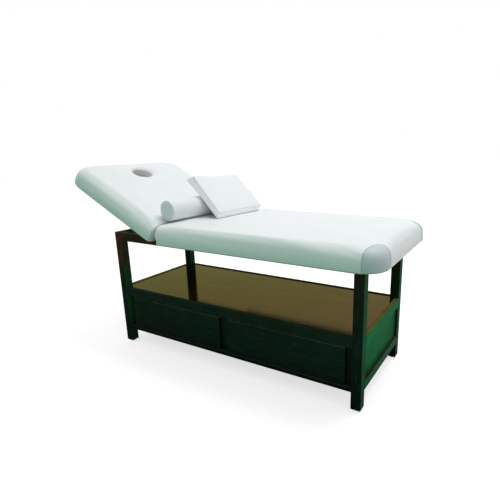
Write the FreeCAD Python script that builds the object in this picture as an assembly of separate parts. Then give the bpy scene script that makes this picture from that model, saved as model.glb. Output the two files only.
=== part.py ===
import FreeCAD, Part
import math
import os

# Spa bed with a cabinet base, in millimetres.
# +X points to the foot end, -Y is the front side and +Z is up.
# Everything is drawn about the middle of the wooden base, on the floor, and moved at the end
# so that the origin is the middle of the whole bed's footprint.

# Wooden base
base_length = 1520.0
base_width = 608.0
frame_top = 690.0
post_side = 48.0
post_edge_round = 3.0
toe_round = 10.0
glide_height = 4.0
glide_radius = 13.0
rail_thickness = 22.0
rail_edge_round = 2.0
tenon_length = 20.0
tenon_thickness = 10.0
tenon_shoulder = 4.0

# Open top frame
top_rail_height = 48.0
bearer_height = 40.0
bearer_width = 28.0
hinge_bearer_clearance = 12.0
pad_bearer_share = (0.42, 0.8)

# Cabinet
cabinet_top = 355.0
cabinet_bottom = 92.0
cabinet_rail_height = 50.0
side_bottom_rail_height = 18.0
end_bottom_rail_height = 44.0
shelf_thickness = 18.0
shelf_drop = 3.0
cleat_side = 18.0
board_fit = 0.4
panel_thickness = 9.0
panel_recess = 13.0
partition_thickness = 18.0
stile_thickness = 18.0
stile_lap = 14.0

# Drawers
drawer_front_thickness = 18.0
drawer_front_recess = 13.0
drawer_front_round = 1.5
drawer_gap_below = 3.0
finger_gap = 12.0
drawer_gap_centre = 52.0
drawer_gap_end = 34.0
grip_length = 220.0
grip_depth = 8.0
grip_height = 22.0
drawer_wall = 12.0
drawer_side_gap = 2.0
drawer_top_gap = 5.0
drawer_back_gap = 32.0
drawer_floor_thickness = 6.0
drawer_floor_lift = 6.0
drawer_groove = 6.0
drawer_back_drop = 10.0
runner_height = 6.0
runner_reach = 24.0
guide_height = 30.0
guide_thickness = 10.0
running_gap = 0.3
stop_gap = 0.5

# Pads
pad_width = 800.0
pad_thickness = 112.0
pad_skirt = 22.0
foot_overhang = 97.0
main_pad_length = 1192.0
backrest_length = 709.0
joint_gap = 3.0
joint_setback = 3.0
joint_setback_rise = 30.0
joint_corner_round = 16.0
pad_corner_round = 110.0
hem_round = 14.0
roll_reach = 58.0
roll_rise = 52.0
crown_reach = 300.0
board_thickness = 18.0
board_margin = 18.0
board_joint_inset = 3.0
board_corner_round = 4.0
frame_fit = 3.0
backrest_border = 92.0
backrest_rest_gap = 0.3
corner_fade_share = 0.3
hem_angles = (0.0, 45.0, 90.0)
roll_angles = (0.0, 22.5, 45.0, 67.5, 90.0)
crown_share = ((0.3, 0.46), (0.62, 0.82), (1.0, 1.0))

# Face hole near the head end of the backrest
face_hole_from_joint = 547.0
face_hole_length = 104.0
face_hole_width = 136.0
face_hole_lip = 12.0
lip_angles = (0.0, 38.0, 75.0)
oval_chords = 28

# Backrest hinge and its slotted quadrants
axis_depth = 30.0
backrest_tilt = 26.5
backrest_highest = 50.0
plate_thickness = 5.0
plate_gap = 0.3
eye_radius = 12.0
pin_radius = 4.0
pin_head_radius = 7.0
pin_head_height = 2.5
pin_running_gap = 0.05
fitting_gap = 2.0
neck_width = 18.0
quadrant_drop = 40.0
quadrant_margin = 12.0
quadrant_end_angle = 9.0
slot_end_angle = 1.0
stud_angle = 25.0
stud_radius = 4.0
slot_gap = 0.3
under_board_gap = 2.0
strip_depth = 20.0
angle_length = 105.0
angle_clearance = 6.0
angle_width = 30.0
angle_thickness = 3.0
bracket_height = 38.0
bracket_drop = 2.0
bracket_before = 66.0
bracket_after = 42.0
bracket_round = 8.0

# Clamp knobs on the studs
knob_radius = 22.0
knob_thickness = 14.0
knob_hub_radius = 11.0
knob_hub_height = 7.0
knob_edge = 2.0
knob_lobes = 5
knob_lobe_share = 0.55
knob_scallop_depth = 5.0
stud_reach_share = 0.55

# Loose bolster and pillow
bolster_radius = 58.0
bolster_length = 660.0
bolster_end_round = 7.0
bolster_end_angles = (0.0, 45.0, 90.0)
bolster_offset = 21.0
loose_turn = 5.5
soft_gap = 0.3
bolster_lean = 6.0
pillow_width = 365.0
pillow_length = 280.0
pillow_thickness = 48.0
pillow_offset = 63.0
pillow_tilt = 43.0
pillow_corner_round = 24.0
pillow_draw_in = 5.0
pillow_rim_share = 0.72
pillow_rim_reach = 16.0
pillow_rim_angles = (-90.0, -45.0, 0.0, 45.0, 90.0)
pillow_crown_reach = 50.0
pillow_crown_share = ((0.4, 0.68), (1.0, 1.0))

# Small corners and shallow curves are drawn in chords, at these shares of the turn or length
quarter_turn = 90.0
chord_share = (0.0, 1 / 3, 2 / 3, 1.0)
drawn_in_share = (0.25, 0.5, 0.75)

# One overrun for every cut that runs past a face, and how near two places count as one
overrun = 5.0
same_place = 0.2

# Sizes that follow
half_length = base_length / 2
half_width = base_width / 2
post_clear_x = half_length - post_side
post_clear_y = half_width - post_side
rail_inner_x = half_length - rail_thickness
rail_inner_y = half_width - rail_thickness
floor_top = cabinet_bottom + side_bottom_rail_height
shelf_top = cabinet_top - shelf_drop
shelf_bottom = shelf_top - shelf_thickness
cabinet_rail_low = cabinet_top - cabinet_rail_height
front_face = -half_width + drawer_front_recess
front_back = front_face + drawer_front_thickness
stile_face = front_back + stop_gap
stile_back = stile_face + stile_thickness
panel_inner_y = half_width - panel_recess - panel_thickness
pad_half = pad_width / 2
pad_bottom = frame_top - pad_skirt
pad_top = pad_bottom + pad_thickness
axis_height = pad_top - axis_depth
fold_x = half_length + foot_overhang - main_pad_length - joint_gap / 2
roll_start = pad_top - roll_rise - hem_round / 3
backrest_base = frame_top + backrest_rest_gap
fitting_slot = eye_radius + fitting_gap
bracket_outer = rail_inner_y
bracket_inner = bracket_outer - plate_thickness
quadrant_outer = bracket_inner - plate_gap
quadrant_inner = quadrant_outer - plate_thickness
quadrant_radius = axis_height - backrest_base + quadrant_drop
quadrant_reach = quadrant_radius + quadrant_margin
quadrant_start = stud_angle - backrest_highest - quadrant_end_angle
quadrant_end = stud_angle + quadrant_end_angle
angle_start = quadrant_radius * math.sin(math.radians(stud_angle)) + knob_radius + angle_clearance
angle_end = angle_start + angle_length


def at(x, y, z):
    return FreeCAD.Vector(x, y, z)


def box(x0, x1, y0, y1, z0, z1):
    """A block between two corners, given in any order along each axis."""
    low = at(min(x0, x1), min(y0, y1), min(z0, z1))
    return Part.makeBox(abs(x1 - x0), abs(y1 - y0), abs(z1 - z0), low)


def cylinder_y(radius, y0, y1, x, z):
    """A round bar along Y."""
    return Part.makeCylinder(radius, abs(y1 - y0), at(x, min(y0, y1), z), at(0, 1, 0))


def mirror_x(shape):
    return shape.mirror(at(0, 0, 0), at(1, 0, 0))


def mirror_y(shape):
    return shape.mirror(at(0, 0, 0), at(0, 1, 0))


def clean(shape):
    """One solid with no seams left from joining it."""
    tidy = shape.removeSplitter()
    return tidy.Solids[0] if len(tidy.Solids) == 1 else tidy


def edges_where(shape, test):
    """The straight edges whose two end points pass a test."""
    straight = [edge for edge in shape.Edges if len(edge.Vertexes) == 2]
    return [edge for edge in straight if all(test(vertex.Point) for vertex in edge.Vertexes)]


def near(a, b):
    return abs(a - b) < same_place


def is_level(edge):
    return near(edge.BoundBox.ZLength, 0)


def is_across(edge):
    """True for an edge that lies in one plane square to Y."""
    return near(edge.BoundBox.YLength, 0)


# Posts and rails

def rounded_square(side, radius):
    """A square outline about the origin with rounded corners."""
    return rounded_plan(0, -side / 2, side / 2, side / 2, radius, radius)


def chords(points):
    """Straight edges from point to point."""
    return [Part.LineSegment(a, b).toShape() for a, b in zip(points, points[1:])]


def faceted(rows):
    """A solid through outlines of equally many points, with flat faces between them and at both ends."""
    faces = [Part.Face(Part.makePolygon(row + row[:1])) for row in (rows[0], rows[-1])]
    for low, high in zip(rows, rows[1:]):
        for index, corner in enumerate(low):
            after = (index + 1) % len(low)
            faces.append(Part.Face(Part.makePolygon([corner, low[after], high[after], high[index], corner])))
    return Part.Solid(Part.Shell(faces))


def small_corner(centre_x, centre_y, z, radius, start):
    """Points on a quarter circle from the start angle, for a corner too small to need an arc."""
    turns = [math.radians(start + share * quarter_turn) for share in chord_share]
    return [at(centre_x + radius * math.cos(turn), centre_y + radius * math.sin(turn), z) for turn in turns]


def rounded_plan(z, x0, x1, half, round0, round1):
    """A closed outline at one height: round0 rounds the corners at x0 in short chords, round1 those at x1 in arcs."""
    cut1 = round1 * (1 - math.sqrt(0.5))
    near_back = small_corner(x0 + round0, half - round0, z, round0, quarter_turn)
    near_front = small_corner(x0 + round0, -half + round0, z, round0, 2 * quarter_turn)
    corner_a = Part.Arc(at(x1 - round1, -half, z), at(x1 - cut1, -half + cut1, z), at(x1, -half + round1, z))
    corner_b = Part.Arc(at(x1, half - round1, z), at(x1 - cut1, half - cut1, z), at(x1 - round1, half, z))
    edges = chords([near_front[-1], at(x1 - round1, -half, z)]) + [corner_a.toShape()]
    edges += chords([at(x1, -half + round1, z), at(x1, half - round1, z)]) + [corner_b.toShape()]
    edges += chords([at(x1 - round1, half, z)] + near_back + near_front)
    return Part.Wire(edges)


def toe_silhouette():
    """The post seen from one side, with its two toes rounded."""
    half = post_side / 2
    low = glide_height
    cut = toe_round * (1 - math.sqrt(0.5))
    points_up = [at(half, 0, low + toe_round), at(half, 0, frame_top)]
    points_over = [at(half, 0, frame_top), at(-half, 0, frame_top)]
    points_down = [at(-half, 0, frame_top), at(-half, 0, low + toe_round)]
    toe_left = Part.Arc(at(-half, 0, low + toe_round), at(-half + cut, 0, low + cut), at(-half + toe_round, 0, low))
    sole = [at(-half + toe_round, 0, low), at(half - toe_round, 0, low)]
    toe_right = Part.Arc(at(half - toe_round, 0, low), at(half - cut, 0, low + cut), at(half, 0, low + toe_round))
    edges = [Part.LineSegment(*points_up).toShape(), Part.LineSegment(*points_over).toShape(),
             Part.LineSegment(*points_down).toShape(), toe_left.toShape(),
             Part.LineSegment(*sole).toShape(), toe_right.toShape()]
    return Part.Face(Part.Wire(edges))


def post(side_x, side_y, rails):
    """A square post with softened edges and rounded toes, mortised for the rails that it carries."""
    plan = Part.Face(rounded_square(post_side, post_edge_round))
    stick = plan.extrude(at(0, 0, frame_top))
    silhouette = toe_silhouette()
    along_y = silhouette.copy()
    along_y.translate(at(0, -post_side, 0))
    stick = stick.common(along_y.extrude(at(0, 2 * post_side, 0)))
    along_x = silhouette.copy()
    along_x.rotate(at(0, 0, 0), at(0, 0, 1), 90)
    along_x.translate(at(-post_side, 0, 0))
    stick = stick.common(along_x.extrude(at(2 * post_side, 0, 0)))
    stick.translate(at(side_x * (half_length - post_side / 2), side_y * (half_width - post_side / 2), 0))
    for rail in rails:
        stick = stick.cut(rail)
    return clean(stick)


def glides():
    """Round plastic glides under the four posts."""
    found = []
    for side_x in (-1, 1):
        for side_y in (-1, 1):
            foot = at(side_x * (half_length - post_side / 2), side_y * (half_width - post_side / 2), 0)
            found.append(Part.makeCylinder(glide_radius, glide_height, foot))
    return Part.makeCompound(found)


def rail_along_x(side, low, high):
    """A long rail between two posts, with a stub tenon at each end. Side is -1 at the front, 1 at the back."""
    body = box(-post_clear_x, post_clear_x, side * rail_inner_y, side * half_width, low, high)
    outer = edges_where(body, lambda point: near(point.y, side * half_width))
    body = body.makeFillet(rail_edge_round, [edge for edge in outer if is_level(edge)])
    middle = side * (half_width - rail_thickness / 2)
    tenon = box(-post_clear_x - tenon_length, post_clear_x + tenon_length,
                middle - tenon_thickness / 2, middle + tenon_thickness / 2,
                low + tenon_shoulder, high - tenon_shoulder)
    return clean(body.fuse(tenon))


def rail_along_y(side, low, high):
    """A short rail between two posts, with a stub tenon at each end. Side is -1 at the head, 1 at the foot."""
    body = box(side * rail_inner_x, side * half_length, -post_clear_y, post_clear_y, low, high)
    outer = edges_where(body, lambda point: near(point.x, side * half_length))
    body = body.makeFillet(rail_edge_round, [edge for edge in outer if is_level(edge)])
    middle = side * (half_length - rail_thickness / 2)
    tenon = box(middle - tenon_thickness / 2, middle + tenon_thickness / 2,
                -post_clear_y - tenon_length, post_clear_y + tenon_length,
                low + tenon_shoulder, high - tenon_shoulder)
    return clean(body.fuse(tenon))


def base_frame(parts):
    """The posts, their rails at three heights, and the glides that the bed stands on."""
    levels = {
        "top_rail": (frame_top - top_rail_height, frame_top, frame_top - top_rail_height, frame_top),
        "cabinet_rail": (cabinet_rail_low, cabinet_top, cabinet_rail_low, cabinet_top),
        "bottom_rail": (cabinet_bottom, cabinet_bottom + side_bottom_rail_height,
                        cabinet_bottom, cabinet_bottom + end_bottom_rail_height),
    }
    by_side = {"front": [], "back": [], "head": [], "foot": []}
    for name, (side_low, side_high, end_low, end_high) in levels.items():
        for place, side in (("front", -1), ("back", 1)):
            parts[name + "_" + place] = rail_along_x(side, side_low, side_high)
            by_side[place].append(parts[name + "_" + place])
        for place, side in (("head", -1), ("foot", 1)):
            parts[name + "_" + place] = rail_along_y(side, end_low, end_high)
            by_side[place].append(parts[name + "_" + place])
    for end, side_x in (("head", -1), ("foot", 1)):
        for face, side_y in (("front", -1), ("back", 1)):
            parts["post_" + end + "_" + face] = post(side_x, side_y, by_side[end] + by_side[face])
    parts["foot_glides"] = glides()


def bearers(parts):
    """Cross bearers between the top side rails, flush with the frame's top."""
    low = frame_top - bearer_height
    hinge_x = fold_x - quadrant_reach * math.sin(math.radians(quadrant_start)) + hinge_bearer_clearance
    parts["hinge_bearer"] = box(hinge_x, hinge_x + bearer_width, -rail_inner_y, rail_inner_y, low, frame_top)
    span = rail_inner_x - fold_x
    found = []
    for share in pad_bearer_share:
        middle = fold_x + share * span
        found.append(box(middle - bearer_width / 2, middle + bearer_width / 2, -rail_inner_y, rail_inner_y,
                         low, frame_top))
    parts["pad_bearers"] = Part.makeCompound(found)


# Cabinet

def notched_board(low, high):
    """A board that fills the inside of the rails, notched round the posts."""
    reach_x = rail_inner_x - board_fit
    reach_y = rail_inner_y - board_fit
    board = box(-reach_x, reach_x, -reach_y, reach_y, low, high)
    for side_x in (-1, 1):
        for side_y in (-1, 1):
            notch = box(side_x * (post_clear_x - board_fit), side_x * half_length,
                        side_y * (post_clear_y - board_fit), side_y * half_width, low - overrun, high + overrun)
            board = board.cut(notch)
    return clean(board)


def cleats():
    """Strips inside the cabinet rails that carry the shelf board."""
    low = shelf_bottom - cleat_side
    strips = []
    for side in (-1, 1):
        strips.append(box(-post_clear_x, post_clear_x, side * (rail_inner_y - cleat_side), side * rail_inner_y,
                          low, shelf_bottom))
        strips.append(box(side * (rail_inner_x - cleat_side), side * rail_inner_x, -post_clear_y, post_clear_y,
                          low, shelf_bottom))
    return Part.makeCompound(strips)


def end_panel(side):
    """A thin panel between the posts, set back from their outer faces."""
    outer = side * (half_length - panel_recess)
    inner = side * (half_length - panel_recess - panel_thickness)
    low = cabinet_bottom + end_bottom_rail_height
    return box(inner, outer, -post_clear_y, post_clear_y, low, cabinet_rail_low)


def stile(x0, x1):
    """An upright behind the drawer fronts, which close against it."""
    return box(x0, x1, stile_face, stile_back, floor_top, shelf_bottom - cleat_side)


def cabinet(parts):
    parts["shelf_board"] = notched_board(shelf_bottom, shelf_top)
    parts["shelf_cleats"] = cleats()
    parts["cabinet_floor"] = notched_board(cabinet_bottom, floor_top)
    parts["end_panel_head"] = end_panel(-1)
    parts["end_panel_foot"] = end_panel(1)
    parts["back_panel"] = box(-post_clear_x, post_clear_x, panel_inner_y, panel_inner_y + panel_thickness,
                              floor_top, cabinet_rail_low)
    centre_reach = drawer_gap_centre / 2 + stile_lap
    end_reach = drawer_gap_end + stile_lap
    parts["front_stile_centre"] = stile(-centre_reach, centre_reach)
    parts["front_stile_head"] = stile(-post_clear_x, -post_clear_x + end_reach)
    parts["front_stile_foot"] = stile(post_clear_x - end_reach, post_clear_x)
    partition = box(-partition_thickness / 2, partition_thickness / 2, stile_back, panel_inner_y,
                    floor_top, shelf_bottom)
    parts["cabinet_partition"] = clean(partition.cut(parts["shelf_cleats"]))


# Drawers

def drawer_extent():
    """The foot-end drawer's sides, back and top, worked out from the opening between the stiles."""
    left = drawer_gap_centre / 2 + stile_lap + drawer_side_gap
    right = post_clear_x - drawer_gap_end - stile_lap - drawer_side_gap
    back = panel_inner_y - drawer_back_gap
    low = floor_top + runner_height
    high = cabinet_rail_low - drawer_top_gap
    return left, right, back, low, high


def drawer():
    """The foot-end drawer: front, two sides, back and a bottom held in grooves."""
    left, right, back, low, high = drawer_extent()
    floor_low = low + drawer_floor_lift
    floor = box(left + drawer_wall - drawer_groove, right - drawer_wall + drawer_groove,
                front_back - drawer_groove, back, floor_low, floor_low + drawer_floor_thickness)
    front_left = drawer_gap_centre / 2
    front_right = post_clear_x - drawer_gap_end
    front_low = floor_top + drawer_gap_below
    front_high = cabinet_rail_low - finger_gap
    front = box(front_left, front_right, front_face, front_back, front_low, front_high)
    rim = edges_where(front, lambda point: near(point.y, front_face))
    front = front.makeFillet(drawer_front_round, rim)
    middle = (front_left + front_right) / 2
    grip = box(middle - grip_length / 2, middle + grip_length / 2, front_back - grip_depth, front_back + overrun,
               front_high - grip_height, front_high + overrun)
    front = front.cut(grip).cut(floor)
    inner_side = box(left, left + drawer_wall, front_back, back, low, high).cut(floor)
    outer_side = box(right - drawer_wall, right, front_back, back, low, high).cut(floor)
    wall = box(left + drawer_wall, right - drawer_wall, back - drawer_wall, back,
               floor_low + drawer_floor_thickness, high - drawer_back_drop)
    return {"front": clean(front), "side_inner": clean(inner_side), "side_outer": clean(outer_side),
            "back": wall, "bottom": floor}


def runner(edge, side):
    """A strip under one drawer side, with an upright that guides it. Side points into the drawer."""
    low = floor_top
    guide = edge - side * running_gap
    ledge = box(guide - side * guide_thickness, edge + side * runner_reach, stile_back, panel_inner_y - board_fit,
                low, low + runner_height - running_gap)
    upright = box(guide - side * guide_thickness, guide, stile_back, panel_inner_y - board_fit,
                  low, low + guide_height)
    return clean(ledge.fuse(upright))


def drawers(parts):
    pieces = drawer()
    for name, shape in pieces.items():
        parts["drawer_foot_" + name] = shape
        parts["drawer_head_" + name] = mirror_x(shape)
    left, right = drawer_extent()[:2]
    pair = [runner(left, 1), runner(right, -1)]
    parts["drawer_runners"] = Part.makeCompound(pair + [mirror_x(shape) for shape in pair])


# Pads

def joint_inset(z):
    """How far a pad's end stands back from the fold: a step at the hinge line, and a round above it."""
    rise = z - axis_height
    if rise <= 0:
        return joint_setback * max(0.0, 1 + rise / joint_setback_rise)
    reach = pad_top - axis_height
    return joint_setback + reach - math.sqrt(max(0.0, reach * reach - rise * rise))


def pad_rows():
    """Height and inset of each outline of a pad: hem, upright side, edge roll and crown."""
    rows = []
    for angle in hem_angles:
        turn = math.radians(angle)
        rows.append((pad_bottom + hem_round * (1 - math.cos(turn)), hem_round * (1 - math.sin(turn))))
    for angle in roll_angles:
        turn = math.radians(angle)
        rows.append((roll_start + roll_rise * math.sin(turn), roll_reach * (1 - math.cos(turn))))
    crown_start = roll_start + roll_rise
    for reach_share, rise_share in crown_share:
        rows.append((crown_start + rise_share * (pad_top - crown_start),
                     roll_reach + reach_share * (crown_reach - roll_reach)))
    return rows


def pad_block(length):
    """A pad's outer form, from the fold at x = 0 to its rounded end."""
    outlines = []
    for z, inset in pad_rows():
        corner = pad_corner_round - corner_fade_share * inset
        outlines.append(rounded_plan(z, joint_inset(z), length - inset, pad_half - inset,
                                     joint_corner_round, corner))
    return Part.makeLoft(outlines, True, True)


def fitting_slots():
    """Slots at the fold for the hinge fittings, one near each side."""
    wide = pin_head_height + fitting_gap
    slot = box(-overrun, fitting_slot - joint_gap / 2, quadrant_inner - wide, bracket_outer + wide,
               pad_bottom - overrun, axis_height + fitting_slot)
    return [slot, mirror_y(slot)]


def pad(length, recess_length, base):
    """A cushion wrapped round its board, with a recess below that fits over the frame."""
    cushion = pad_block(length)
    plan = rounded_plan(base, board_joint_inset, length - board_margin, pad_half - board_margin,
                        board_corner_round, pad_corner_round - board_margin)
    board = Part.Face(plan).extrude(at(0, 0, board_thickness))
    recess = box(-overrun, recess_length, -half_width - frame_fit, half_width + frame_fit,
                 pad_bottom - overrun, base)
    slots = fitting_slots()
    cushion = cushion.cut(clean(recess.fuse([board] + slots)))
    for slot in slots:
        board = board.cut(slot)
    return clean(cushion), clean(board)


def oval(z, grow):
    """The face hole's outline at one height, widened all round, in short chords."""
    across = face_hole_width / 2 + grow
    along = face_hole_length / 2 + grow
    turns = [2 * math.pi * index / oval_chords for index in range(oval_chords)]
    points = [at(face_hole_from_joint + along * math.cos(turn), across * math.sin(turn), z) for turn in turns]
    return Part.Wire(chords(points + points[:1]))


def face_hole():
    """The space of the face hole: straight through the pad, and flared at the rounded lip."""
    low = pad_bottom - overrun
    lip_low = pad_top - face_hole_lip
    shaft = Part.makeLoft([oval(low, 0), oval(lip_low, 0)], True, True)
    rows = []
    for angle in lip_angles:
        turn = math.radians(angle)
        rows.append(oval(lip_low + face_hole_lip * math.sin(turn), face_hole_lip * (1 - math.cos(turn))))
    rows.append(oval(pad_top + overrun, face_hole_lip + overrun))
    return shaft.fuse(Part.makeLoft(rows, True, True))


def tilted(shape):
    """The backrest's pieces are drawn lying flat and then raised about the hinge line."""
    raised = shape.copy()
    raised.rotate(at(fold_x, 0, axis_height), at(0, 1, 0), backrest_tilt)
    return raised


def pads(parts):
    main_start = fold_x + joint_gap / 2
    cushion, board = pad(main_pad_length, half_length + frame_fit - main_start, frame_top)
    for name, shape in (("main_cushion", cushion), ("main_pad_board", board)):
        shape.translate(at(main_start, 0, 0))
        parts[name] = shape
    cushion, board = pad(backrest_length, backrest_length - backrest_border, backrest_base)
    hole = face_hole()
    for name, shape in (("backrest_cushion", cushion), ("backrest_board", board)):
        flipped = mirror_x(clean(shape.cut(hole)))
        flipped.translate(at(fold_x - joint_gap / 2, 0, 0))
        parts[name] = tilted(flipped)


# Hinge fittings

def spot(radius, angle, y):
    """A point at an angle from straight below the hinge line, counted towards the head end."""
    turn = math.radians(angle)
    return at(fold_x - radius * math.sin(turn), y, axis_height - radius * math.cos(turn))


def ring_sector(inner, outer, start, end, y0, y1):
    """A flat piece of a ring about the hinge line, between two radii and two angles."""
    middle = (start + end) / 2
    edges = [
        Part.Arc(spot(outer, start, y0), spot(outer, middle, y0), spot(outer, end, y0)).toShape(),
        Part.LineSegment(spot(outer, end, y0), spot(inner, end, y0)).toShape(),
        Part.Arc(spot(inner, end, y0), spot(inner, middle, y0), spot(inner, start, y0)).toShape(),
        Part.LineSegment(spot(inner, start, y0), spot(outer, start, y0)).toShape(),
    ]
    return Part.Face(Part.Wire(edges)).extrude(at(0, y1 - y0, 0))


def arc_slot(y0, y1):
    """The quadrant's curved slot, round at both ends, that the stud runs in."""
    half = stud_radius + slot_gap
    start = stud_angle - backrest_highest - slot_end_angle
    end = stud_angle + slot_end_angle
    slot = ring_sector(quadrant_radius - half, quadrant_radius + half, start, end, y0, y1)
    for angle in (start, end):
        centre = spot(quadrant_radius, angle, 0)
        slot = slot.fuse(cylinder_y(half, y0, y1, centre.x, centre.z))
    return slot


def quadrant():
    """The moving plate: an eye on the hinge line, a slotted sector, and a strip that carries the board."""
    y0 = quadrant_inner
    y1 = quadrant_outer
    reach = quadrant_reach
    board_level = backrest_base
    sector = ring_sector(eye_radius, reach, quadrant_start, quadrant_end, y0, y1)
    below = box(fold_x - reach, fold_x + reach, y0 - overrun, y1 + overrun,
                board_level - under_board_gap, axis_height - reach - overrun)
    plate = sector.common(below)
    riser = box(fold_x - neck_width / 2, fold_x + neck_width / 2, y0, y1, board_level - strip_depth, axis_height)
    strip = box(fold_x - angle_end, fold_x - neck_width / 2, y0, y1, board_level - strip_depth, board_level)
    plate = plate.fuse([riser, strip, cylinder_y(eye_radius, y0, y1, fold_x, axis_height)])
    plate = plate.cut(arc_slot(y0 - overrun, y1 + overrun))
    return clean(plate.cut(cylinder_y(pin_radius + pin_running_gap, y0 - overrun, y1 + overrun, fold_x, axis_height)))


def board_angle():
    """An angle that joins the quadrant's strip to the underside of the backrest's board."""
    x0 = fold_x - angle_end
    x1 = fold_x - angle_start
    y1 = quadrant_inner
    leg = box(x0, x1, y1 - angle_thickness, y1, backrest_base - strip_depth, backrest_base)
    flange = box(x0, x1, y1 - angle_width, y1, backrest_base - angle_thickness, backrest_base)
    return clean(leg.fuse(flange))


def bracket():
    """The fixed plate: screwed to the side rail's inner face, with a neck that rises to the hinge line."""
    y0 = bracket_inner
    y1 = bracket_outer
    high = frame_top - bracket_drop
    low = high - bracket_height
    plate = box(fold_x - bracket_before, fold_x + bracket_after, y0, y1, low, high)
    plate = plate.makeFillet(bracket_round, [edge for edge in plate.Edges if not is_across(edge)])
    neck = box(fold_x - neck_width / 2, fold_x + neck_width / 2, y0, y1, low + bracket_round, axis_height)
    plate = plate.fuse([neck, cylinder_y(eye_radius, y0, y1, fold_x, axis_height)])
    plate = plate.cut(cylinder_y(pin_radius, y0 - overrun, y1 + overrun, fold_x, axis_height))
    centre = spot(quadrant_radius, stud_angle, 0)
    return clean(plate.cut(cylinder_y(stud_radius, y0 - overrun, y1 + overrun, centre.x, centre.z)))


def pivot_pin():
    """The rivet through both eyes, with a low head at each side."""
    inner = quadrant_inner - plate_gap
    shank = cylinder_y(pin_radius, inner, bracket_outer, fold_x, axis_height)
    head_in = cylinder_y(pin_head_radius, inner - pin_head_height, inner, fold_x, axis_height)
    head_out = cylinder_y(pin_head_radius, bracket_outer, bracket_outer + pin_head_height, fold_x, axis_height)
    return clean(shank.fuse([head_in, head_out]))


def knob_top():
    """The plane where the knob's hub bears on the quadrant."""
    return quadrant_inner - plate_gap


def stud():
    """The stud that stands in the bracket, passes the slot and carries the knob."""
    centre = spot(quadrant_radius, stud_angle, 0)
    reach = knob_hub_height + stud_reach_share * knob_thickness
    return cylinder_y(stud_radius, knob_top() - reach, bracket_outer, centre.x, centre.z)


def knob_outline(y, inset):
    """Round lobes with shallow scallops between them, in short chords about the stud."""
    centre = spot(quadrant_radius, stud_angle, y)
    pitch = 2 * math.pi / knob_lobes

    def rim(turn, radius):
        return centre + at(radius * math.cos(turn), 0, radius * math.sin(turn))

    scale = 1 - inset / knob_radius
    full = knob_radius * scale
    points = []
    for index in range(knob_lobes):
        start = index * pitch
        wide = knob_lobe_share * pitch
        points += [rim(start + share * wide, full) for share in chord_share]
        points.append(rim((start + wide + start + pitch) / 2, full - knob_scallop_depth * scale))
    return points


def knob():
    """A lobed hand knob with a hub, drawn with its bore on the stud."""
    centre = spot(quadrant_radius, stud_angle, 0)
    grip_outer = knob_top() - knob_hub_height
    grip_inner = grip_outer - knob_thickness
    rows = ((grip_inner, knob_edge), (grip_inner + knob_edge, 0), (grip_outer - knob_edge, 0), (grip_outer, knob_edge))
    grip = faceted([knob_outline(y, inset) for y, inset in rows])
    body = grip.fuse(cylinder_y(knob_hub_radius, grip_outer, knob_top(), centre.x, centre.z))
    depth = knob_hub_height + stud_reach_share * knob_thickness + plate_gap
    bore = cylinder_y(stud_radius + pin_running_gap, knob_top() - depth, knob_top() + overrun, centre.x, centre.z)
    return clean(body.cut(bore))


def fittings(parts):
    for name, shape in (("pivot_bracket", bracket()), ("pivot_pin", pivot_pin()), ("clamp_stud", stud()),
                        ("clamp_knob", knob())):
        parts[name + "_back"] = shape
        parts[name + "_front"] = mirror_y(shape)
    for name, shape in (("quadrant", quadrant()), ("board_angle", board_angle())):
        parts[name + "_back"] = tilted(shape)
        parts[name + "_front"] = tilted(mirror_y(shape))


# Loose bolster and pillow

def bolster_centre():
    """The bolster lies in the fold, where its front end meets the main pad and the raised backrest.

    It sits a little deeper than on flat pads, because their crowns fall away toward the sides.
    """
    rise = pad_top - axis_height + bolster_radius + soft_gap
    front_x = fold_x + rise * math.tan(math.radians(backrest_tilt) / 2) - bolster_lean
    middle_x = front_x + bolster_length / 2 * math.sin(math.radians(loose_turn))
    return at(middle_x, bolster_offset, pad_top + soft_gap + bolster_radius)


def bolster():
    """A round bolster with softly rounded ends, drawn along Y and turned a little."""
    half = bolster_length / 2
    rim = []
    for angle in bolster_end_angles:
        turn = math.radians(angle)
        rim.append((bolster_radius - bolster_end_round * (1 - math.sin(turn)),
                    half - bolster_end_round * (1 - math.cos(turn))))
    profile = [(0, -half)] + [(x, -y) for x, y in rim] + list(reversed(rim)) + [(0, half), (0, -half)]
    roll = Part.Face(Part.makePolygon([at(x, y, 0) for x, y in profile]))
    roll = roll.revolve(at(0, 0, 0), at(0, 1, 0), 360)
    roll.rotate(at(0, 0, 0), at(0, 0, 1), -loose_turn)
    roll.translate(bolster_centre())
    return roll


def pillow_outline(height, inset):
    """A four-sided outline at one height of the pillow, drawn in along each side."""
    x = pillow_length / 2 - inset
    y = pillow_width / 2 - inset
    r = pillow_corner_round
    points = []
    for index, (sx, sy) in enumerate(((1, 1), (-1, 1), (-1, -1), (1, -1))):
        corner = small_corner(sx * (x - r), sy * (y - r), height, r, index * quarter_turn)
        points += corner
        along_y = sx * sy < 0
        run = y - r if along_y else x - r
        full_run = (pillow_width if along_y else pillow_length) / 2 - r
        for share in drawn_in_share:
            dip = pillow_draw_in * run / full_run * (1 - (1 - 2 * share) ** 2)
            if along_y:
                points.append(at(sx * (x - dip), sy * run * (1 - 2 * share), height))
            else:
                points.append(at(sx * run * (1 - 2 * share), sy * (y - dip), height))
    return points


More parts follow.
